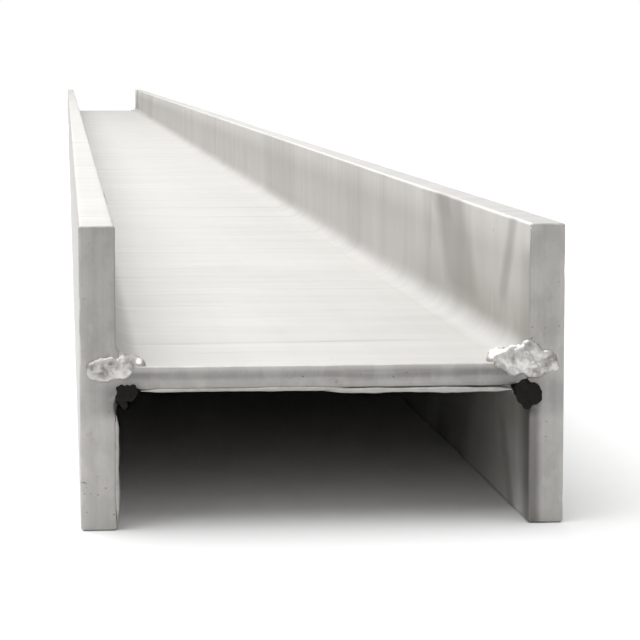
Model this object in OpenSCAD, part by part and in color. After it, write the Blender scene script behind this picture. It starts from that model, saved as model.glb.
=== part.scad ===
// Steel H-beam: one straight rolled bar, lying with both flanges on edge and the web
// level between them at half height.
//
// Frame: X across the section, Y along the beam, Z up. The origin is on the floor, under
// the middle of the beam.

/* [Section] */
// Depth of the section, from the outside of one flange to the outside of the other
section_depth = 200; // [120:5:400]
// Width of each flange, which is the height of the beam as it lies
flange_width = 125; // [80:5:300]
// Thickness of each flange
flange_thickness = 15; // [6:0.5:30]
// Thickness of the web
web_thickness = 10; // [4:0.5:20]

/* [Rounding] */
// Radius of the hollow where the web runs into each flange
root_radius = 10; // [4:0.5:20]
// Radius on the four long edges of each flange
edge_radius = 1.5; // [0.5:0.25:2.5]

/* [Length] */
// Length of the beam, cut square at both ends
beam_length = 6000; // [500:50:12000]

/* [Hidden] */

// Number of sides that a full circle is drawn with
arc_sides = 96;
// How far the web and the root roundings reach into the faces that they run into, so that
// the bar is one solid
overlap = 1;

// Height of the web's middle above the floor
web_level = flange_width / 2;
// Distance from the middle of the beam to the inner face of each flange
flange_inner = section_depth / 2 - flange_thickness;
// Distance from the middle of the beam to the middle of each flange
flange_centre = (section_depth - flange_thickness) / 2;

steel_colour = [0.62, 0.61, 0.59];

// Rectangle centred on the origin, with all four corners rounded
module rounded_rectangle(width, height, radius) {
    union() {
        square([width - 2 * radius, height], center = true);
        square([width, height - 2 * radius], center = true);
        for (x = [-1, 1], y = [-1, 1])
            translate([x * (width / 2 - radius), y * (height / 2 - radius)])
                circle(r = radius, $fn = arc_sides);
    }
}

// Hollow rounding of an inside corner, which is at the origin and opens towards +X and +Y
module root_fillet(radius) {
    difference() {
        translate([-overlap, -overlap])
            square(radius + overlap);
        translate([radius, radius])
            circle(r = radius, $fn = arc_sides);
    }
}

// Section of the beam, centred on the origin
module beam_section() {
    union() {
        square([2 * (flange_inner + overlap), web_thickness], center = true);
        for (side = [-1, 1])
            translate([side * flange_centre, 0])
                rounded_rectangle(flange_thickness, flange_width, edge_radius);
        for (side = [-1, 1], level = [-1, 1])
            translate([side * flange_inner, level * web_thickness / 2])
                scale([-side, level])
                    root_fillet(root_radius);
    }
}

// The whole beam, swept straight from end to end
module h_beam() {
    color(steel_colour)
        translate([0, 0, web_level])
            rotate([90, 0, 0])
                linear_extrude(height = beam_length, center = true)
                    beam_section();
}

h_beam();
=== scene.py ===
"""Steel H-beam: the finished look of one straight bar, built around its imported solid.

The bar lies along Y with both flanges on edge. Its section is swept along its length by
Geometry Nodes, which also lay the small beads of melted metal in the corners of both ends.
"""

from __future__ import annotations

import logging
import math
from collections.abc import Callable, Iterable, Mapping, Sequence
from dataclasses import dataclass
from enum import Enum
from typing import Any

import bpy
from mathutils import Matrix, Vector


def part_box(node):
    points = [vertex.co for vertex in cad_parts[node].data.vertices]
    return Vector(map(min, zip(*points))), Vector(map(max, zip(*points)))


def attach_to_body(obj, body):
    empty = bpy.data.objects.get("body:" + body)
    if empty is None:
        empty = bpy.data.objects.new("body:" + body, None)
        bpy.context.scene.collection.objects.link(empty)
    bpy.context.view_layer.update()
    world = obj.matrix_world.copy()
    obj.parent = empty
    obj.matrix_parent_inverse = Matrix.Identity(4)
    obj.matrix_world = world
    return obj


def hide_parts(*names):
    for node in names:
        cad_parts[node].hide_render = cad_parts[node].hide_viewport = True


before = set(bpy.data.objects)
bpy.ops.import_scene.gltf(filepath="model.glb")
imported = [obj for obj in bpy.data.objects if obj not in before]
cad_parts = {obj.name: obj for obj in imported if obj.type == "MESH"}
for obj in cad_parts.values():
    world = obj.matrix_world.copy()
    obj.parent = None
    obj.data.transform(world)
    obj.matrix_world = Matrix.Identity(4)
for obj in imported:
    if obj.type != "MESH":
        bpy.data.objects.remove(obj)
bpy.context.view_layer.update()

log = logging.getLogger("h_beam")

MM = 0.001
Colour = tuple[float, float, float]


def mm(*values: float) -> tuple[float, ...]:
    """Millimetres as metres."""
    return tuple(value * MM for value in values)


def in_scene(name: str, data: bpy.types.ID) -> bpy.types.Object:
    """Adds an object to the scene for a mesh, a light or a camera."""
    made = bpy.data.objects.new(name, data)
    bpy.context.scene.collection.objects.link(made)
    return made


# ---- node graphs


def math_operator(operation: str, swapped: bool = False) -> Callable[[Expr, Expr | float], Expr]:
    """Makes a method of Expr that adds a Math node with two inputs.

    Args:
        operation: The Math node's operation.
        swapped: Whether the value itself comes second, as in a reflected form.

    Returns:
        The method.
    """

    def method(value: Expr, other: Expr | float) -> Expr:
        """Adds the node."""
        first, second = (other, value) if swapped else (value, other)
        return value.graph.make("ShaderNodeMath", {"operation": operation}, {0: first, 1: second})

    return method


@dataclass(frozen=True)
class Expr:
    """One output of a node, on which Python's operators add Math nodes."""

    graph: Graph
    socket: bpy.types.NodeSocket

    __add__ = __radd__ = math_operator("ADD")
    __sub__, __rsub__ = math_operator("SUBTRACT"), math_operator("SUBTRACT", swapped=True)
    __mul__ = __rmul__ = math_operator("MULTIPLY")
    __truediv__, __rtruediv__ = math_operator("DIVIDE"), math_operator("DIVIDE", swapped=True)
    __pow__, __rpow__ = math_operator("POWER"), math_operator("POWER", swapped=True)
    at_most, at_least = math_operator("MINIMUM"), math_operator("MAXIMUM")

    def __neg__(self) -> Expr:
        """Negative."""
        return self * -1.0

    def __abs__(self) -> Expr:
        """Size without its sign."""
        return self.graph.make("ShaderNodeMath", {"operation": "ABSOLUTE"}, {0: self})

    def sign(self) -> Expr:
        """-1, 0 or 1."""
        return self.graph.make("ShaderNodeMath", {"operation": "SIGN"}, {0: self})

    def ramp(self, low: float, high: float) -> Expr:
        """Smooth step of this value.

        Args:
            low: The value that gives 0.
            high: The value that gives 1. It may be the lower of the two.

        Returns:
            A value from 0 to 1.
        """
        falling = high < low
        settings = {"interpolation_type": "SMOOTHSTEP"}
        ends = {"From Min": min(low, high), "From Max": max(low, high)}
        step = self.graph.make("ShaderNodeMapRange", settings, {"Value": self, **ends}, "Result")
        return 1.0 - step if falling else step

    def near(self, centre: float, outer: float, inner: float) -> Expr:
        """1 within the inner distance of a value, falling to 0 at the outer distance."""
        return abs(self - centre).ramp(outer, inner)

    def __getitem__(self, name: str) -> Expr:
        """Another output of the same node."""
        return Expr(self.graph, self.graph.find(self.socket.node.outputs, name))


class Graph:
    """A node tree that is filled from Python expressions."""

    def __init__(self, tree: bpy.types.NodeTree) -> None:
        """Empties the tree and keeps it."""
        self.tree = tree
        tree.nodes.clear()

    @staticmethod
    def find(sockets: Iterable[bpy.types.NodeSocket], key: str | int) -> bpy.types.NodeSocket:
        """Finds a socket.

        Args:
            sockets: A node's inputs or outputs.
            key: A place in the list, a name or an identifier.

        Returns:
            The socket, with the name of one in use taken before an identifier.
        """
        listed = list(sockets)
        if isinstance(key, int):
            return listed[key]
        by_identifier = [s for s in listed if s.identifier == key]
        by_name = [s for s in listed if s.name == key and s.enabled]
        return (by_name or by_identifier)[0]

    def make(
        self,
        kind: str,
        settings: Mapping[str, Any] | None = None,
        values: Mapping[str | int, Any] | None = None,
        out: str | int = 0,
    ) -> Expr:
        """Adds a node of any kind.

        Args:
            kind: The node's type.
            settings: Its own settings, which are set first.
            values: Its inputs, each a plain value or an expression to link.
            out: The output to return.

        Returns:
            One output of the node.
        """
        node = self.tree.nodes.new(kind)
        for name, value in (settings or {}).items():
            setattr(node, name, value)
        for key, value in (values or {}).items():
            socket = self.find(node.inputs, key)
            if isinstance(value, Expr):
                self.tree.links.new(value.socket, socket)
            else:
                socket.default_value = value
        if not len(node.outputs):
            return Expr(self, node.inputs[0])
        return Expr(self, self.find(node.outputs, out))

    def vector(self, x: Expr | float, y: Expr | float, z: Expr | float) -> Expr:
        """Joins three values into a vector."""
        return self.make("ShaderNodeCombineXYZ", {}, {0: x, 1: y, 2: z})

    def split(self, vector: Expr) -> tuple[Expr, Expr, Expr]:
        """The three values of a vector."""
        first = self.make("ShaderNodeSeparateXYZ", {}, {0: vector})
        return first, first["Y"], first["Z"]

    def vector_math(self, operation: str, first: Expr | Colour, second: Any) -> Expr:
        """Adds a Vector Math node with two inputs."""
        key = "Scale" if operation == "SCALE" else 1
        return self.make("ShaderNodeVectorMath", {"operation": operation}, {0: first, key: second})

    def mix(self, amount: Expr | float, first: Any, second: Any) -> Expr:
        """Mixes two colours.

        Args:
            amount: 0 for the first colour and 1 for the second.
            first: A colour or an expression that gives one.
            second: A colour or an expression that gives one.

        Returns:
            The mixed colour.
        """
        values = {
            "Factor_Float": amount,
            "A_Color": (*first, 1.0) if isinstance(first, tuple) else first,
            "B_Color": (*second, 1.0) if isinstance(second, tuple) else second,
        }
        return self.make("ShaderNodeMix", {"data_type": "RGBA"}, values, "Result_Color")

    def tint(self, colour: Expr | Colour, strength: Expr | float) -> Expr:
        """Multiplies a colour by one value."""
        return self.vector_math("SCALE", colour, strength)

    def noise(self, place: Expr, scale: float, detail: float = 4.0, rough: float = 0.55) -> Expr:
        """Noise from 0 to 1, with a scale in features for each metre."""
        values = {"Vector": place, "Scale": scale, "Detail": detail, "Roughness": rough}
        return self.make("ShaderNodeTexNoise", {}, values)

    def stretched(self, place: Expr, stretch: Colour) -> Expr:
        """Coordinates whose three axes are multiplied by the values of stretch."""
        return self.vector_math("MULTIPLY", place, stretch)

    def random(self, kind: str, low: Any, high: Any, seed: Expr) -> Expr:
        """A random value for each element, as a FLOAT or a FLOAT_VECTOR."""
        values = {"Min": low, "Max": high, "Seed": seed}
        return self.make("FunctionNodeRandomValue", {"data_type": kind}, values, "Value")

    def above(self, value: Expr, limit: float) -> Expr:
        """True where a value is above the limit."""
        return self.make("FunctionNodeCompare", {"operation": "GREATER_THAN"}, {"A": value, "B": limit})

    def attribute(self, name: str) -> Expr:
        """The vectors that attach() stored under a name."""
        settings = {"data_type": "FLOAT_VECTOR"}
        return self.make("GeometryNodeInputNamedAttribute", settings, {"Name": name})

    def moved(self, geometry: Expr, **how: Expr) -> Expr:
        """Moves a geometry's points to a Position or by an Offset."""
        return self.make("GeometryNodeSetPosition", {}, {"Geometry": geometry, **how})

    def real(self, geometry: Expr) -> Expr:
        """Turns a geometry's instances into meshes of its own."""
        return self.make("GeometryNodeRealizeInstances", {}, {"Geometry": geometry})

    def dressed(self, geometry: Expr, finish: Expr, **where: Expr) -> Expr:
        """Gives a material to all of a geometry's faces, or to those of a Selection."""
        values = {"Geometry": geometry, "Material": finish, **where}
        return self.make("GeometryNodeSetMaterial", {}, values)


# ---- the section


@dataclass(frozen=True)
class OutlinePoint:
    """A point of the section's outline, with the direction from it into the metal."""

    x: float
    z: float
    in_x: float
    in_z: float

    def mirrored(self, across: float, up: float, middle: float) -> OutlinePoint:
        """The point in another quarter, with each direction kept by 1 and mirrored by -1."""
        z = middle + up * (self.z - middle)
        return OutlinePoint(across * self.x, z, across * self.in_x, up * self.in_z)


@dataclass(frozen=True)
class Section:
    """The H's outline. Its depth and width come from the frame, in metres."""

    depth: float
    width: float
    flange: float = 15.0 * MM
    web: float = 10.0 * MM
    root_radius: float = 10.0 * MM
    edge_radius: float = 1.5 * MM
    root_steps: int = 12
    edge_steps: int = 5
    spacing: float = 3.75 * MM
    crowding: float = 1.7

    @property
    def middle(self) -> float:
        """Height of the web's middle."""
        return self.width / 2

    @property
    def inner(self) -> float:
        """Distance from the middle to a flange's inner face."""
        return self.depth / 2 - self.flange

    def straight(self, start: Colour, end: Colour, into: tuple[float, float]) -> list[OutlinePoint]:
        """Points along a straight stretch, which crowd towards both of its ends.

        Args:
            start: Its first point, as x, 0 and z. The point itself is left out.
            end: Its last point. The point itself is left out.
            into: The direction into the metal.

        Returns:
            The points between the two ends.
        """
        first, last = Vector(start), Vector(end)
        half_count = max(2, round((last - first).length / self.spacing / 2))
        points = []
        for index in range(1, 2 * half_count):
            share = index / half_count - 1.0
            eased = math.copysign(1.0 - (1.0 - abs(share)) ** self.crowding, share)
            points.append(first.lerp(last, (1.0 + eased) / 2))
        return [OutlinePoint(point.x, point.z, *into) for point in points]

    @staticmethod
    def arc(
        centre: tuple[float, float], radius: float, angles: tuple[float, float], steps: int, inward: int
    ) -> list[OutlinePoint]:
        """Points along a round stretch.

        Args:
            centre: Its centre, as x and z.
            radius: Its radius.
            angles: Its first and last angle in degrees.
            steps: How many pieces it has.
            inward: 1 where the metal is outside the circle and -1 where it is inside.

        Returns:
            The points, with both ends.
        """
        points = []
        for step in range(steps + 1):
            angle = math.radians(angles[0] + (angles[1] - angles[0]) * step / steps)
            x, z = math.cos(angle), math.sin(angle)
            place = (centre[0] + radius * x, centre[1] + radius * z)
            points.append(OutlinePoint(*place, inward * x, inward * z))
        return points

    def outline(self) -> list[OutlinePoint]:
        """The whole outline in order, as one closed loop."""
        root, edge, half = self.root_radius, self.edge_radius, self.depth / 2
        web_top = self.middle + self.web / 2
        root_centre = (self.inner - root, web_top + root)
        inner_centre = (self.inner + edge, self.width - edge)
        outer_centre = (half - edge, self.width - edge)
        corner = [
            *self.arc(root_centre, root, (-90, 0), self.root_steps, 1),
            *self.straight((self.inner, 0, root_centre[1]), (self.inner, 0, inner_centre[1]), (1, 0)),
            *self.arc(inner_centre, edge, (180, 90), self.edge_steps, -1),
            *self.straight((inner_centre[0], 0, self.width), (outer_centre[0], 0, self.width), (0, -1)),
            *self.arc(outer_centre, edge, (90, 0), self.edge_steps, -1),
        ]
        low_edge = self.width - outer_centre[1]
        outer = self.straight((half, 0, outer_centre[1]), (half, 0, low_edge), (-1, 0))
        low_web = 2 * self.middle - web_top
        under = self.straight((root_centre[0], 0, low_web), (-root_centre[0], 0, low_web), (0, 1))
        right = [*corner, *outer, *(p.mirrored(1, -1, self.middle) for p in corner[::-1]), *under]
        return [*right, *(p.mirrored(-1, -1, self.middle) for p in right)]


# ---- finishes

# A surface's colour, roughness, metallic value and height in metres.
Surface = tuple[Expr, Expr, Expr | float, Expr]


@dataclass(frozen=True)
class SteelFinish:
    """What every finish of the bar's own steel has in common."""

    name: str
    section: Section
    colour: Colour
    metallic: float
    roughness: float
    shine: float = 0.5

    def material(self) -> bpy.types.Material:
        """Makes the material, with its nodes.

        Returns:
            The finished material.
        """
        made = bpy.data.materials.new(self.name)
        made.use_nodes = True
        graph = Graph(made.node_tree)
        place = graph.make("ShaderNodeTexCoord", {}, {}, "Object")
        colour, roughness, metallic, height = self.surface(graph, place)
        bump = {"Strength": 1.0, "Distance": 1.0, "Height": height}
        normal = graph.make("ShaderNodeBump", {}, bump)
        values = {
            "Base Color": colour,
            "Metallic": metallic,
            "Roughness": roughness,
            "Specular IOR Level": self.shine,
            "Normal": normal,
        }
        shader = graph.make("ShaderNodeBsdfPrincipled", {}, values)
        graph.make("ShaderNodeOutputMaterial", {}, {"Surface": shader})
        return made

    def surface(self, graph: Graph, place: Expr) -> Surface:
        """Describes the surface.

        Args:
            graph: The material's graph.
            place: Object coordinates, in metres.

        Returns:
            The colour, roughness, metallic value and height in metres.
        """
        raise NotImplementedError


@dataclass(frozen=True)
class Band:
    """A darker band across a flange's inner face, by its edges' distances from the nearer end.

    The distances hold at half the face's height, and change with the height by the lean. A
    band fades out below its foot, which is a height over the web.
    """

    near: float
    far: float
    soft: float
    lean: float
    strength: float
    foot: float = 0.0


@dataclass(frozen=True)
class MillSteel(SteelFinish):
    """Rolled faces along the bar: pale and satin, with cross streaks, stains and specks."""

    half_length: float = 3.0
    tone: float = 0.90
    mottling: float = 0.10
    cross_streaks: float = 0.34
    broad_streaks: float = 0.16
    long_streaks: float = 0.06
    fine_lines: float = 0.14
    # Painted shade at the flanges' foot by the web.
    painted_foot_shade: float = 0.20
    # Painted light on the upper part of the flanges' inner faces.
    painted_top_light: float = 0.34
    # Darker colour low on the flanges' inner faces close to the ends.
    darkened_end: float = 0.24
    # Painted shade in the root fillets.
    painted_root_shade: float = 0.13
    # Painted light over the whole of the flanges' inner faces.
    painted_flange_light: float = 0.05
    stain: Colour = (0.24, 0.23, 0.21)
    foot: Colour = (0.34, 0.33, 0.27)
    speck: Colour = (0.12, 0.09, 0.06)
    # Painted shade, nearly black, for the corners under the web.
    under_web_shade: Colour = (0.05, 0.045, 0.04)
    bands: tuple[Band, ...] = (
        Band(0.046, 0.064, 0.007, -0.7, 0.42, foot=0.021),
        Band(0.160, 0.254, 0.018, 1.0, 0.46, foot=0.0135),
        Band(0.205, 0.268, 0.010, 1.2, 0.17, foot=0.047),
        Band(0.570, 0.710, 0.030, 1.0, 0.10),
        Band(1.090, 1.410, 0.060, 1.0, 0.16),
    )

    def stains(self, graph: Graph, place: Expr, from_end: Expr, height: Expr) -> Expr:
        """How stained the flanges' inner faces are, from 0 to 1.

        Args:
            graph: The material's graph.
            place: Object coordinates.
            from_end: Distance from the nearer end.
            height: Height above the web's upper face, or below its lower face.

        Returns:
            The amount of stain.
        """
        wander = (graph.noise(place, 22.0, 3.0) - 0.5) * 0.012
        total = graph.noise(graph.stretched(place, (1.0, 4.0, 1.0)), 5.0, 4.0).ramp(0.54, 0.74) * 0.16
        for band in self.bands:
            along = from_end + wander - (height - 0.040) * band.lean
            inside = along.ramp(band.near - band.soft, band.near + band.soft)
            inside = inside * along.ramp(band.far + band.soft, band.far - band.soft)
            total = total + inside * height.ramp(band.foot - 0.006, band.foot + 0.004) * band.strength
        return total

    def surface(self, graph: Graph, place: Expr) -> Surface:
        """See SteelFinish."""
        x, y, z = graph.split(place)
        inner, off_middle = self.section.inner, abs(x)
        from_end = self.half_length - abs(y)
        height = abs(z - self.section.middle) - self.section.web / 2
        mottle = graph.noise(graph.stretched(place, (1.0, 0.35, 1.0)), 14.0, 5.0)
        cross = graph.noise(graph.stretched(place, (7.0, 48.0, 7.0)), 1.0, 5.0, 0.68)
        broad = graph.noise(graph.stretched(place, (4.0, 11.0, 4.0)), 1.0, 3.0, 0.6)
        along = graph.noise(graph.stretched(place, (120.0, 0.8, 120.0)), 1.0, 3.0, 0.6)
        grain = graph.noise(place, 700.0, 3.0, 0.6)

        inside = off_middle.ramp(inner + 0.0012, inner + 0.0004)
        flange_face = off_middle.ramp(inner - 0.004, inner - 0.001) * inside
        stain = self.stains(graph, place, from_end, height) * flange_face
        # Painted shade in the corner at the flanges' foot by the web; it is weaker away from the ends.
        low = height.ramp(0.034, 0.010) * height.ramp(0.005, 0.011) * inside
        oil = low * from_end.ramp(0.30, 0.02) * graph.noise(place, 30.0, 3.0).ramp(0.25, 0.60)
        low = low * (0.25 + 0.75 * from_end.ramp(0.46, 0.26))
        # Painted shade: the root fillets' colour is darkened; their added roughness is the surface's own.
        root = off_middle.ramp(inner - 0.012, inner - 0.006) * inside * height.ramp(0.009, 0.004)
        # Painted light: the upper part of the flanges' inner faces is made lighter.
        high = height.ramp(0.036, 0.056) * flange_face
        # Darker colour low on the flanges' inner faces close to the ends.
        darkened = from_end.ramp(0.032, 0.004) * height.ramp(0.050, 0.042) * flange_face
        thin = graph.noise(graph.stretched(place, (6.0, 85.0, 6.0)), 1.0, 2.0, 0.5)
        line = thin.ramp(0.58, 0.70) * broad.ramp(0.40, 0.58) * (1.0 - flange_face)
        speck = graph.noise(place, 330.0, 2.0, 0.5).ramp(0.72, 0.77)
        speck = speck * graph.noise(place, 9.0, 3.0).ramp(0.45, 0.65)
        # Painted shade: the corners under the web, close to the ends, are darkened nearly to black.
        corner = off_middle.near(inner, 0.016, 0.004) * from_end.ramp(0.030, 0.004)
        under_web_shade = corner * (z - self.section.middle).ramp(0.002, -0.004)

        shade = self.tone + self.mottling * mottle + self.cross_streaks * (cross - 0.5)
        shade = shade + self.broad_streaks * (broad - 0.5) + self.long_streaks * (along - 0.5)
        # Painted shade at the foot and painted light on the upper part of the flanges' inner faces:
        shade = shade - self.fine_lines * line - self.painted_foot_shade * low + self.painted_top_light * high
        # Darker colour near the ends, painted shade in the root and painted light over the flanges' inner
        # faces:
        shade = shade - self.darkened_end * darkened - self.painted_root_shade * root + self.painted_flange_light * flange_face
        colour = graph.tint(self.colour, shade)
        colour = graph.mix(stain.at_most(1.0), colour, self.stain)
        colour = graph.mix(oil * 0.60, colour, self.foot)
        colour = graph.mix(speck * 0.6, colour, self.speck)
        colour = graph.mix(under_web_shade * 0.85, colour, self.under_web_shade)
        roughness = self.roughness + 0.14 * (mottle - 0.5) + 0.12 * (cross - 0.5)
        roughness = roughness + 0.15 * stain + 0.10 * root
        metallic = self.metallic - 0.4 * speck - 0.4 * under_web_shade
        relief = cross * 0.06 + along * 0.03 + grain * 0.02 - speck * 0.06
        return colour, roughness, metallic, relief * MM


@dataclass(frozen=True)
class CutSteel(SteelFinish):
    """Square-cut ends: a duller grey, streaked along each wall, with pits and faint rust."""

    tone: float = 0.82
    mottling: float = 0.20
    streaks: float = 0.26
    blotches: float = 0.12
    pale_edge: float = 0.10
    # Painted shade on the flanges' ends just below the web's level.
    low_band_shade: float = 0.14
    web_duller: float = 0.10
    web_burnt: float = 0.16
    web_right_duller: float = 0.10
    # Painted highlight along the upper part of the web's end.
    web_painted_top_light: float = 0.34
    pit: Colour = (0.12, 0.10, 0.085)
    rust: Colour = (0.30, 0.22, 0.15)
    # Painted shade, nearly black, for the end's corners and a strip under the web.
    under_web_shade: Colour = (0.05, 0.045, 0.04)

    def web_shade(self, graph: Graph, place: Expr) -> Expr:
        """How much paler or duller the web's end is than the flanges' ends, with a painted highlight
        along its upper part.

        Args:
            graph: The material's graph.
            place: Object coordinates.

        Returns:
            What is added to the shade.
        """
        x, _, z = graph.split(place)
        inner = self.section.inner
        rise = (z - self.section.middle) / (self.section.web / 2)
        level = rise + (graph.noise(place, 18.0, 2.0) - 0.5) * 0.8
        bright = 0.08 * level.near(-0.45, 0.40, 0.10) - 0.10 * level.near(0.10, 0.30, 0.08)
        # Painted highlight along the upper part of the web's end.
        bright = bright + self.web_painted_top_light * rise.ramp(0.35, 0.80)
        burnt = self.web_burnt * abs(x).ramp(inner - 0.035, inner - 0.004)
        return bright - self.web_duller - burnt - self.web_right_duller * x.ramp(-0.02, 0.06)

    def flange_shade(self, x: Expr, z: Expr) -> Expr:
        """What painted shade just below the web's level and the left side add to the flanges' ends."""
        # Painted shade in a band just below the web, under the lower beads.
        low_band = z.near(self.section.middle - 0.009, 0.010, 0.003)
        return x.ramp(0.0, -0.01) * (0.06 - 0.13 * z.ramp(0.045, 0.075)) - self.low_band_shade * low_band

    def surface(self, graph: Graph, place: Expr) -> Surface:
        """See SteelFinish."""
        x, _, z = graph.split(place)
        inner, middle = self.section.inner, self.section.middle
        upright = abs(x).ramp(inner - 0.006, inner + 0.002)
        on_flange = graph.noise(graph.stretched(place, (420.0, 1.0, 9.0)), 1.0, 3.0, 0.55)
        on_web = graph.noise(graph.stretched(place, (9.0, 1.0, 520.0)), 1.0, 3.0, 0.55)
        streak = on_web + (on_flange - on_web) * upright
        mottle = graph.noise(place, 60.0, 5.0, 0.6)
        grain = graph.noise(place, 1300.0, 2.0, 0.6)
        blotch = graph.noise(graph.stretched(place, (1.0, 1.0, 0.6)), 130.0, 4.0, 0.6).ramp(0.40, 0.62)
        pit = graph.noise(place, 620.0, 1.0, 0.4).ramp(0.71, 0.76)
        pit = pit * graph.noise(place, 45.0, 2.0).ramp(0.50, 0.64)
        rust = graph.noise(place, 120.0, 4.0, 0.65).ramp(0.62, 0.74)
        # Painted shade: the end's corners just under the web are darkened nearly to black.
        under_web_shade = abs(x).near(inner - 0.003, 0.011, 0.004) * z.near(middle - 0.009, 0.010, 0.003)
        under_web_shade = under_web_shade * graph.noise(place, 150.0, 3.0).ramp(0.20, 0.50) * (1.0 - 0.5 * upright)
        # Painted shade: a strip along the right flange's lower inner edge, under the web, is darkened.
        strip_shade = x.ramp(inner + 0.0062, inner + 0.0026) * upright * z.ramp(middle - 0.006, middle - 0.012)
        strip_shade = strip_shade * x.ramp(0.0, 0.01) * graph.noise(place, 90.0, 3.0).ramp(0.15, 0.45)
        edge = abs(x).ramp(inner + 0.010, inner + 0.0145)

        shade = self.tone + self.mottling * mottle + self.streaks * (streak - 0.5)
        shade = shade + self.blotches * (blotch - 0.5) + self.pale_edge * edge
        shade = shade + self.web_shade(graph, place) * (1.0 - upright)
        shade = shade + self.flange_shade(x, z) * upright
        colour = graph.tint(self.colour, shade)
        colour = graph.mix(rust * 0.22, colour, self.rust)
        colour = graph.mix(pit * 0.7, colour, self.pit)
        # Both painted shades mix towards the near-black colour.
        colour = graph.mix((under_web_shade * 0.85 + strip_shade * 0.62).at_most(0.9), colour, self.under_web_shade)
        roughness = self.roughness + 0.2 * (mottle - 0.5) + 0.2 * (streak - 0.5) + 0.2 * rust
        metallic = self.metallic - 0.4 * pit - 0.4 * under_web_shade
        relief = streak * 0.12 + mottle * 0.10 + grain * 0.03 - pit * 0.12
        return colour, roughness, metallic, relief * MM


@dataclass(frozen=True)
class BeadSteel(SteelFinish):
    """Melted metal at the ends: bright, with painted shade, nearly black, below the level that is given.
    """

    # The level below which the beads get painted shade.
    shade_level: float = 0.0610
    patchiness: float = 0.65
    flange_patch: float = 0.10
    left_patch: float = 0.22
    swell: float = 0.8 * MM
    patch: Colour = (0.20, 0.19, 0.175)
    # Painted shade, nearly black.
    shaded_lumps: Colour = (0.010, 0.009, 0.008)

    def surface(self, graph: Graph, place: Expr) -> Surface:
        """See SteelFinish."""
        x, _, z = graph.split(place)
        flow = graph.noise(place, 270.0, 4.0, 0.6)
        patches = graph.noise(place, 170.0, 4.0, 0.6).ramp(0.45, 0.66) * self.patchiness
        inner = self.section.inner
        over_flange = self.flange_patch * abs(x).ramp(inner, inner + 0.007)
        over_left = self.left_patch * x.ramp(0.004 - inner, -0.003 - inner)
        patches = (patches + over_flange + over_left).at_most(1.0)
        # Painted shade: below the level the beads are made nearly black, rougher and less metallic.
        shaded_lumps = (z - self.shade_level).ramp(0.0008, -0.0008)
        colour = graph.tint(graph.mix(patches, self.colour, self.patch), 0.84 + 0.32 * flow)
        colour = graph.mix(shaded_lumps, colour, self.shaded_lumps)
        roughness = self.roughness + 0.20 * (flow - 0.5) + 0.10 * shaded_lumps + 0.15 * patches
        metallic = self.metallic * (1.0 - 0.7 * shaded_lumps)
        return colour, roughness, metallic, flow * self.swell


# ---- geometry trees


SOCKETS = {float: "NodeSocketFloat", int: "NodeSocketInt", bpy.types.Material: "NodeSocketMaterial"}


class GeometryTree:
    """A Geometry Nodes tree with named inputs, run once to give a plain mesh."""

    def __init__(self, name: str) -> None:
        """Makes an empty tree that takes and gives geometry."""
        self.tree = bpy.data.node_groups.new(name, "GeometryNodeTree")
        self.graph = Graph(self.tree)
        self.values: dict[str, Any] = {}
        for side in ("INPUT", "OUTPUT"):
            self.tree.interface.new_socket(name="Geometry", in_out=side, socket_type="NodeSocketGeometry")

    def start(self, inputs: Mapping[str, float | int | bpy.types.Material]) -> Expr:
        """Adds the named inputs.

        Args:
            inputs: The value of each input, whose type gives the input's kind.

        Returns:
            The geometry input, which gives the others by name.
        """
        for name, value in inputs.items():
            kind = SOCKETS[type(value)]
            item = self.tree.interface.new_socket(name=name, in_out="INPUT", socket_type=kind)
            self.values[item.identifier] = value
        return self.graph.make("NodeGroupInput", {}, {}, "Geometry")

    def end(self, geometry: Expr) -> None:
        """Links the tree's result."""
        self.graph.make("NodeGroupOutput", {}, {"Geometry": geometry})

    def run(self, source: bpy.types.Mesh, name: str) -> bpy.types.Object:
        """Runs the tree on a mesh.

        Args:
            source: The mesh that goes into the tree.
            name: The new piece's name.

        Returns:
            An object with a plain mesh, at the origin, with no modifier.
        """
        piece = in_scene(name, source)
        modifier = piece.modifiers.new("nodes", "NODES")
        modifier.node_group = self.tree
        for identifier, value in self.values.items():
            modifier[identifier] = value
        bpy.context.view_layer.update()
        evaluated = piece.evaluated_get(bpy.context.evaluated_depsgraph_get())
        result = bpy.data.meshes.new_from_object(evaluated)
        piece.modifiers.remove(modifier)
        piece.data = result
        result.name = name
        while result.materials[0] is None:
            result.materials.pop(index=0)
        return piece


# ---- the pieces


def attach(mesh: bpy.types.Mesh, name: str, values: Sequence[Colour]) -> None:
    """Stores one vector for each vertex of a mesh."""
    attribute = mesh.attributes.new(name, "FLOAT_VECTOR", "POINT")
    attribute.data.foreach_set("vector", [part for value in values for part in value])


@dataclass
class Piece:
    """A visible piece of the bar, which a geometry tree makes from a small mesh."""

    section: Section
    length: float
    name: str = ""
    seed: int = 0
    end_relief: float = 2.0 * MM

    def source(self) -> bpy.types.Mesh:
        """The mesh that goes into the tree."""
        raise NotImplementedError

    def tree(self) -> GeometryTree:
        """The tree, with its inputs and finishes."""
        raise NotImplementedError

    def build(self) -> bpy.types.Object:
        """Builds the piece, which rides on the only body."""
        piece = self.tree().run(self.source(), self.name)
        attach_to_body(piece, "root")
        return piece


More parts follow.
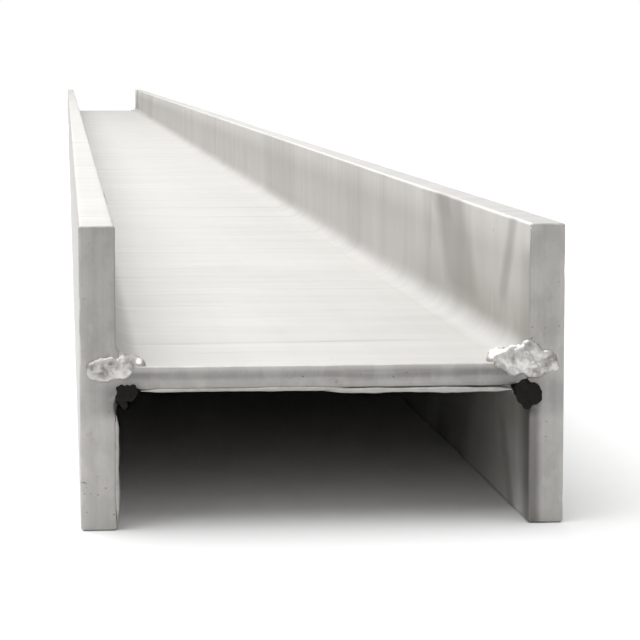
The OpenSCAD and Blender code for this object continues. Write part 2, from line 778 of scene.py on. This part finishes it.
@dataclass
class HBeam(Piece):
    """The bar itself, swept from its section and worn at its ends."""

    name: str = "beam_body"
    seed: int = 7
    stations: int = 221
    rounding: float = 1.2 * MM
    chip_depth: float = 1.3 * MM
    notch_depth: float = 2.8 * MM
    waviness: float = 0.25 * MM
    notch_reach: float = 12.0 * MM
    edge_wear: float = 0.3
    end_facing: float = 0.5
    smooth_angle: float = 32.0

    def source(self) -> bpy.types.Mesh:
        """The section as a closed loop of edges, in the plane that the sweep reads."""
        points = self.section.outline()
        count = len(points)
        mesh = bpy.data.meshes.new("section")
        corners = [(point.x, point.z - self.section.middle, 0.0) for point in points]
        mesh.from_pydata(corners, [(i, (i + 1) % count) for i in range(count)], [])
        attach(mesh, "inward", [(point.in_x, 0.0, point.in_z) for point in points])
        attach(mesh, "spot", [(point.x, 0.0, point.z) for point in points])
        return mesh

    def inset(self, given: Expr, place: Expr) -> Expr:
        """How far each point sinks into the metal.

        Args:
            given: The tree's inputs.
            place: Each point's place on the plain bar.

        Returns:
            The distance in metres, which is never negative.
        """
        graph, middle = given.graph, self.section.middle
        x, y, z = graph.split(place)
        half = given["Length"] * 0.5
        rounding = given["End rounding"]
        from_end = (half - abs(y)).at_least(0.0)
        short = (rounding - from_end).at_least(0.0)
        rounded = rounding - ((rounding * rounding) - short * short).at_least(0.0) ** 0.5
        seeded = graph.vector_math("ADD", place, graph.vector(given["Seed"], 0.0, 0.0))

        nicks = graph.noise(seeded, 85.0, 3.0).ramp(0.52, 0.74)
        tip = abs(z - middle).ramp(middle - 0.007, middle)
        chips = given["Chip depth"] * nicks * from_end.ramp(0.006, 0.0) * (0.25 + 0.75 * tip)
        long_nicks = graph.noise(seeded, 40.0, 3.0).ramp(0.60, 0.78)
        edge_wear = given["Chip depth"] * self.edge_wear * long_nicks * tip

        low_web = middle - self.section.web / 2
        off_x, off_z = abs(x) - self.section.inner, z - low_web
        off_corner = (off_x * off_x + off_z * off_z) ** 0.5
        size = 0.55 + 0.45 * graph.noise(seeded, 9.0, 1.0).ramp(0.35, 0.65)
        notch = off_corner.ramp(self.notch_reach, 0.004) * from_end.ramp(0.008, 0.001)
        wave = graph.noise(graph.stretched(seeded, (1.0, 0.4, 1.0)), 3.0, 2.0)
        worn = rounded + chips + edge_wear + given["Waviness"] * wave
        return worn + given["Notch depth"] * notch * size

    def stations_curve(self, given: Expr) -> Expr:
        """The line that the section follows, with its stations crowded at both ends.

        Args:
            given: The tree's inputs.

        Returns:
            The curve.
        """
        graph = given.graph
        line = graph.make("GeometryNodeCurvePrimitiveLine", {}, {"End": (0.0, 1.0, 0.0)})
        counted = {"Curve": line, "Count": given["Stations"]}
        line = graph.make("GeometryNodeResampleCurve", {}, counted)
        share = graph.make("GeometryNodeSplineParameter", {}, {}, "Factor") * 2.0 - 1.0
        eased = 1.0 - (1.0 - abs(share)) ** 2.0
        along = share.sign() * eased * given["Length"] * 0.5
        line = graph.moved(line, Position=graph.vector(0.0, along, 0.0))
        return graph.make("GeometryNodeSetCurveNormal", {"mode": "Z_UP"}, {"Curve": line})

    def tree(self) -> GeometryTree:
        """The tree that sweeps, wears and dresses the bar.

        Returns:
            The tree.
        """
        shape, half = self.section, self.length / 2
        sides = MillSteel("mill_steel", shape, (0.58, 0.568, 0.545), 0.42, 0.53, half_length=half)
        ends = CutSteel("cut_steel", shape, (0.455, 0.443, 0.425), 0.45, 0.52)
        made = GeometryTree("beam_sweep")
        graph = made.graph
        inputs = {
            "Length": self.length - 2 * self.end_relief,
            "Stations": self.stations,
            "End rounding": self.rounding,
            "Chip depth": self.chip_depth,
            "Notch depth": self.notch_depth,
            "Waviness": self.waviness,
            "Seed": self.seed,
            "Side finish": sides.material(),
            "End finish": ends.material(),
        }
        given = made.start(inputs)
        profile = graph.make("GeometryNodeMeshToCurve", {}, {"Mesh": given})
        curves = {"Curve": self.stations_curve(given), "Profile Curve": profile, "Fill Caps": True}
        swept = graph.make("GeometryNodeCurveToMesh", {}, curves)
        _, along, _ = graph.split(graph.make("GeometryNodeInputPosition"))
        x, _, z = graph.split(graph.attribute("spot"))
        plain = graph.vector(x, along, z)
        sunk = graph.vector_math("SCALE", graph.attribute("inward"), self.inset(given, plain))
        worn = graph.moved(swept, Position=graph.vector_math("ADD", plain, sunk))
        _, facing, _ = graph.split(graph.make("GeometryNodeInputNormal"))
        dressed = graph.dressed(graph.real(worn), given["Side finish"])
        at_ends = graph.above(abs(facing), self.end_facing)
        made.end(graph.dressed(dressed, given["End finish"], Selection=at_ends))
        return made

    def build(self) -> bpy.types.Object:
        """Builds the bar, which stands for the CAD node, and keeps its edges crisp."""
        piece = super().build()
        piece.data.shade_smooth()
        piece.data.set_sharp_from_angle(angle=math.radians(self.smooth_angle))
        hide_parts("h_beam")
        return piece


# ---- the beads


class Corners(Enum):
    """Which corners of an end a cluster is strewn about, by the sign of their level."""

    UPPER = 1.0
    LOWER = -1.0


@dataclass(frozen=True)
class Cluster:
    """A group of drops that is strewn about a corner, in the corner's own directions.

    The first direction runs from the flange's inner face over the web, the second from the
    cut end into the bar, and the third away from the web. The lean draws the less bulky
    clusters back over the flange, and the sag draws them towards the web's middle.
    """

    name: str
    corners: Corners
    count: int
    low: Colour
    high: Colour
    smallest: float
    radius: float
    lean: float = 0.0
    sag: float = 0.0
    flatness: float = 1.0


@dataclass
class EndBeads(Piece):
    """Small beads of melted metal in the corners between web and flange, at both ends."""

    name: str = "corner_beads"
    seed: int = 23
    voxel: float = 0.42 * MM
    band_voxels: float = 2.0
    melt_level: float = 0.15
    blur_steps: int = 4
    drop_detail: int = 3
    lesser_bulk: float = 0.72
    bulk_effect: float = 0.6
    heaping: float = 0.75

    def clusters(self) -> tuple[Cluster, ...]:
        """The mounds and drops over the web, the lumps under it, and the smears over the end.

        The smears have a thinner skirt round them.
        """
        upper, lower, face = Corners.UPPER, Corners.LOWER, self.end_relief / MM
        mound = (mm(2.0, 3.5, 0.0), mm(10.5, 10.0, 3.2))
        drop = (mm(0.0, face, 1.0), mm(15.0, 13.0, 7.8))
        smear = (mm(-9.0, face, -5.5), mm(12.5, face, 6.8))
        skirt = (mm(-11.0, face, -6.5), mm(13.0, face, 7.5))
        shaded_lumps = (mm(-1.0, 3.0, -1.0), mm(4.5, 8.0, 7.5))
        crust = (mm(-4.0, face, 0.0), mm(5.0, face, 13.0))
        return (
            Cluster("Mound", upper, 10, *mound, 0.75, *mm(5.2)),
            Cluster("Drop", upper, 16, *drop, 0.55, *mm(3.0)),
            Cluster("Smear", upper, 44, *smear, 0.60, *mm(3.3, 14.0, 6.0), flatness=0.56),
            # The lumps hanging under the web are the same weld metal; their finish paints them nearly
            # black as shade.
            Cluster("Hanging", lower, 14, *shaded_lumps, 0.60, *mm(3.2)),
            Cluster("Crust", lower, 32, *crust, 0.65, *mm(2.4, -13.0, 6.0), flatness=0.45),
            Cluster("Skirt", upper, 34, *skirt, 0.55, *mm(2.9, 13.0, 6.0), flatness=0.30),
        )

    def source(self) -> bpy.types.Mesh:
        """One point at each corner of each end, with its three directions and its bulk."""
        section = self.section
        places, ways, bulks = [], [], []
        for end in (-1, 1):
            for side in (-1, 1):
                for level in (-1, 1):
                    height = section.middle + level * section.web / 2
                    places.append((side * section.inner, end * self.length / 2, height))
                    ways.append((-side, -end, level))
                    bulks.append((1.0 if side * end < 0 else self.lesser_bulk, 0.0, 0.0))
        mesh = bpy.data.meshes.new("bead_corners")
        mesh.from_pydata(places, [], [])
        attach(mesh, "way", ways)
        attach(mesh, "bulk", bulks)
        return mesh

    def strewn(self, given: Expr, cluster: Cluster, number: int) -> Expr:
        """Strews one cluster's drops about its corners.

        Args:
            given: The tree's inputs.
            cluster: The cluster.
            number: The cluster's number, which keeps its draws apart from the others'.

        Returns:
            The separate drops.
        """
        graph = given.graph
        way = graph.attribute("way")
        bulk, _, _ = graph.split(graph.attribute("bulk"))
        _, _, level = graph.split(way)
        by_point = {"domain": "POINT"}
        points = graph.make("GeometryNodeMeshToPoints", {}, {"Mesh": given})
        chosen = {"Geometry": points, "Selection": graph.above(level * cluster.corners.value, 0.0)}
        points = graph.make("GeometryNodeSeparateGeometry", by_point, chosen)
        copies = {"Geometry": points, "Amount": given[f"{cluster.name} drops"]}
        many = graph.make("GeometryNodeDuplicateElements", by_point, copies)
        seed = given["Seed"] + 10.0 * number
        size = graph.random("FLOAT", cluster.smallest, 1.0, seed + 1.0)
        size = size * (1.0 - self.bulk_effect + self.bulk_effect * bulk)
        radius = given[f"{cluster.name} radius"]
        thrown = graph.random("FLOAT_VECTOR", cluster.low, cluster.high, seed)
        across, into, up = graph.split(thrown)
        room = bulk * (1.0 - abs(across) / cluster.high[0] * self.heaping)
        clear = into.at_least(size * radius * cluster.flatness)
        slight = 1.0 - bulk
        along_web = across * bulk - slight * cluster.lean
        offset = graph.vector(along_web, clear, up * room - slight * cluster.sag)
        moved = graph.moved(many, Offset=graph.vector_math("MULTIPLY", offset, way))
        ball = {"Radius": radius, "Subdivisions": self.drop_detail}
        drop = graph.make("GeometryNodeMeshIcoSphere", {}, ball)
        scale = graph.vector(size, size * cluster.flatness, size)
        placed = {"Points": moved, "Instance": drop, "Scale": scale}
        return graph.real(graph.make("GeometryNodeInstanceOnPoints", {}, placed))

    def tree(self) -> GeometryTree:
        """The tree that strews the drops and melts them together.

        Returns:
            The tree.
        """
        finish = BeadSteel("bead_steel", self.section, (0.68, 0.665, 0.64), 0.85, 0.38, shine=0.15)
        made = GeometryTree("bead_clusters")
        graph = made.graph
        inputs: dict[str, Any] = {
            "Voxel": self.voxel,
            "Half length": self.length / 2,
            "Seed": self.seed,
            "Finish": finish.material(),
        }
        for cluster in self.clusters():
            inputs[f"{cluster.name} drops"] = cluster.count
            inputs[f"{cluster.name} radius"] = cluster.radius
        given = made.start(inputs)
        drops = graph.make("GeometryNodeJoinGeometry")
        for number, cluster in enumerate(self.clusters()):
            part = self.strewn(given, cluster, number)
            graph.tree.links.new(part.socket, drops.socket.node.inputs[0])
        made.end(self.melt(given, drops))
        return made

    def melt(self, given: Expr, drops: Expr) -> Expr:
        """Joins the drops into beads and dresses them.

        Args:
            given: The tree's inputs.
            drops: The separate drops.

        Returns:
            The beads, none of which reaches past the bar's ends.
        """
        graph, voxel = given.graph, given["Voxel"]
        band = voxel * self.band_voxels
        by_voxel = {"resolution_mode": "VOXEL_SIZE"}
        filled = {"Mesh": drops, "Voxel Size": voxel, "Density": 1.0, "Interior Band Width": band}
        volume = graph.make("GeometryNodeMeshToVolume", by_voxel, filled)
        skinned = {"Volume": volume, "Voxel Size": voxel, "Threshold": self.melt_level}
        melted = graph.make("GeometryNodeVolumeToMesh", by_voxel, skinned)
        place = graph.make("GeometryNodeInputPosition")
        smoothing = {"Value": place, "Iterations": self.blur_steps}
        vectors = {"data_type": "FLOAT_VECTOR"}
        blurred = graph.make("GeometryNodeBlurAttribute", vectors, smoothing, "Value")
        x, y, z = graph.split(blurred)
        half = given["Half length"]
        limited = y.at_most(half).at_least(-half)
        melted = graph.moved(melted, Position=graph.vector(x, limited, z))
        melted = graph.make("GeometryNodeSetShadeSmooth", {}, {"Geometry": melted})
        return graph.dressed(graph.real(melted), given["Finish"])


@dataclass(frozen=True)
class Lip:
    """A stretch of an end's edge, from its first to its last point as x and z."""

    start: tuple[float, float]
    end: tuple[float, float]
    radius: float


@dataclass
class EndLips(Piece):
    """Thin uneven lips of metal that the cut left along some edges of both ends."""

    name: str = "edge_lips"
    seed: int = 5
    spacing: float = 1.2 * MM
    sink: float = 0.2 * MM
    wander: float = 1.0 * MM
    ring_sides: int = 10

    def lips(self) -> tuple[Lip, ...]:
        """The lips under the web and on the left flange's lower inner edge."""
        section = self.section
        under = section.middle - section.web / 2
        wide, high = section.inner - section.root_radius, under - section.root_radius
        return (
            Lip((-wide, under), (0.012, under), 0.95 * MM),
            Lip((0.000, under - 0.0008), (wide + 0.003, under - 0.0013), 1.30 * MM),
            Lip((-section.inner, high), (-section.inner, 0.004), 0.85 * MM),
        )

    def source(self) -> bpy.types.Mesh:
        """One straight edge for each lip of each end, with its radius."""
        places, radii = [], []
        for end in (-1, 1):
            y = end * (self.length / 2 - self.end_relief - self.sink)
            for lip in self.lips():
                places += [(lip.start[0], y, lip.start[1]), (lip.end[0], y, lip.end[1])]
                radii += [(lip.radius, 0.0, 0.0)] * 2
        mesh = bpy.data.meshes.new("lip_edges")
        mesh.from_pydata(places, [(i, i + 1) for i in range(0, len(places), 2)], [])
        attach(mesh, "thickness", radii)
        return mesh

    def tree(self) -> GeometryTree:
        """The tree that runs an uneven thread of metal along each edge.

        Returns:
            The tree.
        """
        # The lips get no painted shade, fewer patches and a smaller swell.
        lip_look = {"shade_level": -1.0, "patchiness": 0.25, "swell": 0.2 * MM}
        finish = BeadSteel("lip_steel", self.section, (0.45, 0.44, 0.42), 0.50, 0.45, **lip_look)
        made = GeometryTree("lip_threads")
        graph = made.graph
        inputs = {"Spacing": self.spacing, "Seed": self.seed, "Finish": finish.material()}
        given = made.start(inputs)
        line = graph.make("GeometryNodeMeshToCurve", {}, {"Mesh": given})
        spaced = {"Curve": line, "Length": given["Spacing"]}
        line = graph.make("GeometryNodeResampleCurve", {"mode": "LENGTH"}, spaced)
        place = graph.make("GeometryNodeInputPosition")
        seeded = graph.vector_math("ADD", place, graph.vector(given["Seed"], 0.0, 0.0))
        share = graph.make("GeometryNodeSplineParameter", {}, {}, "Factor")
        taper = share.ramp(0.0, 0.10) * share.ramp(1.0, 0.90)
        lump = graph.noise(seeded, 75.0, 2.0)
        thickness, _, _ = graph.split(graph.attribute("thickness"))
        radius = thickness * (0.70 + 0.45 * lump.ramp(0.30, 0.75)) * (0.15 + 0.85 * taper)
        wander = (graph.noise(seeded, 30.0, 2.0) - 0.5) * self.wander
        line = graph.moved(line, Offset=graph.vector(wander, 0.0, wander))
        round_section = {"Resolution": self.ring_sides, "Radius": 1.0}
        ring = graph.make("GeometryNodeCurvePrimitiveCircle", {}, round_section)
        curves = {"Curve": line, "Profile Curve": ring, "Scale": radius, "Fill Caps": True}
        thread = graph.make("GeometryNodeCurveToMesh", {}, curves)
        thread = graph.make("GeometryNodeSetShadeSmooth", {}, {"Geometry": thread})
        made.end(graph.dressed(graph.real(thread), given["Finish"]))
        return made


# ---- the studio


@dataclass
class Studio:
    """Plain pale floor, white surroundings and one long soft light over the bar's left."""

    length: float
    floor_radius: float = 12.0
    floor_sides: int = 96
    fade_start: float = 0.5
    fade_end: float = 2.0
    glow: float = 0.5
    glow_start: float = 0.30
    glow_end: float = 0.90
    floor_roughness: float = 0.7
    floor_shine: float = 0.2
    horizon: float = 0.18
    zenith: float = 0.80
    sky_rise: float = 0.6
    key_aside: float = 0.80
    key_height: float = 2.1
    key_width: float = 2.4
    key_overhang: float = 1.6
    key_power: float = 143.0
    floor_colour: Colour = (0.88, 0.88, 0.88)

    def floor(self) -> bpy.types.Object:
        """A round floor that fades into the white surroundings far from the bar."""
        radius, turn = self.floor_radius, 2 * math.pi / self.floor_sides
        angles = [i * turn for i in range(self.floor_sides)]
        rim = [(radius * math.cos(angle), radius * math.sin(angle), 0.0) for angle in angles]
        mesh = bpy.data.meshes.new("floor")
        mesh.from_pydata(rim, [], [tuple(range(self.floor_sides))])
        made = bpy.data.materials.new("pale_floor")
        made.use_nodes = True
        graph = Graph(made.node_tree)
        x, y, _ = graph.split(graph.make("ShaderNodeTexCoord", {}, {}, "Object"))
        past_end = (abs(y) - self.length / 2).at_least(0.0)
        off = (x * x + past_end * past_end) ** 0.5
        glow = off.ramp(self.glow_start, self.glow_end) * self.glow
        values = {
            "Base Color": (*self.floor_colour, 1.0),
            "Roughness": self.floor_roughness,
            "Specular IOR Level": self.floor_shine,
            "Alpha": off.ramp(self.fade_end, self.fade_start),
            "Emission Color": graph.vector(glow, glow, glow),
            "Emission Strength": 1.0,
        }
        shader = graph.make("ShaderNodeBsdfPrincipled", {}, values)
        graph.make("ShaderNodeOutputMaterial", {}, {"Surface": shader})
        mesh.materials.append(made)
        piece = in_scene("floor", mesh)
        return piece

    def surroundings(self) -> None:
        """White to look at, and as light a fill that is strongest from overhead."""
        world = bpy.data.worlds.new("surroundings")
        bpy.context.scene.world = world
        world.use_nodes = True
        graph = Graph(world.node_tree)
        seen = graph.make("ShaderNodeLightPath", {}, {}, "Is Camera Ray")
        _, _, up = graph.split(graph.make("ShaderNodeTexCoord", {}, {}, "Generated"))
        sky = self.horizon + (self.zenith - self.horizon) * up.ramp(0.0, self.sky_rise)
        strength = seen * (1.0 - sky) + sky
        white = {"Color": (1.0, 1.0, 1.0, 1.0), "Strength": strength}
        shader = graph.make("ShaderNodeBackground", {}, white)
        graph.make("ShaderNodeOutputWorld", {}, {"Surface": shader})

    def key(self) -> None:
        """The long soft light."""
        light = bpy.data.lights.new("long_softbox", "AREA")
        light.shape = "RECTANGLE"
        light.size = self.key_width
        light.size_y = self.length + 2 * self.key_overhang
        light.energy = self.key_power
        holder = in_scene("long_softbox", light)
        holder.location = (-self.key_aside, 0.0, self.key_height)
        holder.rotation_euler = (0.0, -math.atan2(self.key_aside, self.key_height), 0.0)

    def build(self) -> None:
        """Sets up the whole studio."""
        self.floor()
        self.surroundings()
        self.key()
        bpy.context.scene.view_settings.view_transform = "Standard"


@dataclass
class EndOnCamera:
    """A camera close in front of one end, in line with the left flange and a little above it."""

    low: Vector
    high: Vector
    stand_back: float = 1.02
    outside: float = 0.004
    above: float = 0.064
    aim_across: float = -0.002
    aim_height: float = 0.086
    lens: float = 142.0
    sensor: float = 36.0
    nearest: float = 0.02

    def build(self) -> None:
        """Makes the camera and sets it as the scene's own."""
        data = bpy.data.cameras.new("camera")
        data.sensor_width = self.sensor
        data.lens = self.lens
        data.clip_start = self.nearest
        camera = in_scene("camera", data)
        eye = Vector((self.low.x - self.outside, self.low.y - self.stand_back, self.high.z + self.above))
        aim = Vector((self.aim_across, self.low.y, self.aim_height))
        camera.location = eye
        camera.rotation_euler = (aim - eye).to_track_quat("-Z", "Y").to_euler()
        bpy.context.scene.camera = camera


# ---- main


def main() -> None:
    """Builds the studio, the camera and the bar, and reports each piece."""
    logging.basicConfig(level=logging.INFO, format="%(name)s: %(message)s")
    low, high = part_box("h_beam")
    size = high - low
    section = Section(depth=size.x, width=size.z)
    Studio(length=size.y).build()
    EndOnCamera(low, high).build()
    for maker in (HBeam(section, size.y), EndBeads(section, size.y), EndLips(section, size.y)):
        piece = maker.build()
        log.info("%s: %d faces", piece.name, len(piece.data.polygons))


if __name__ == "__main__":
    main()
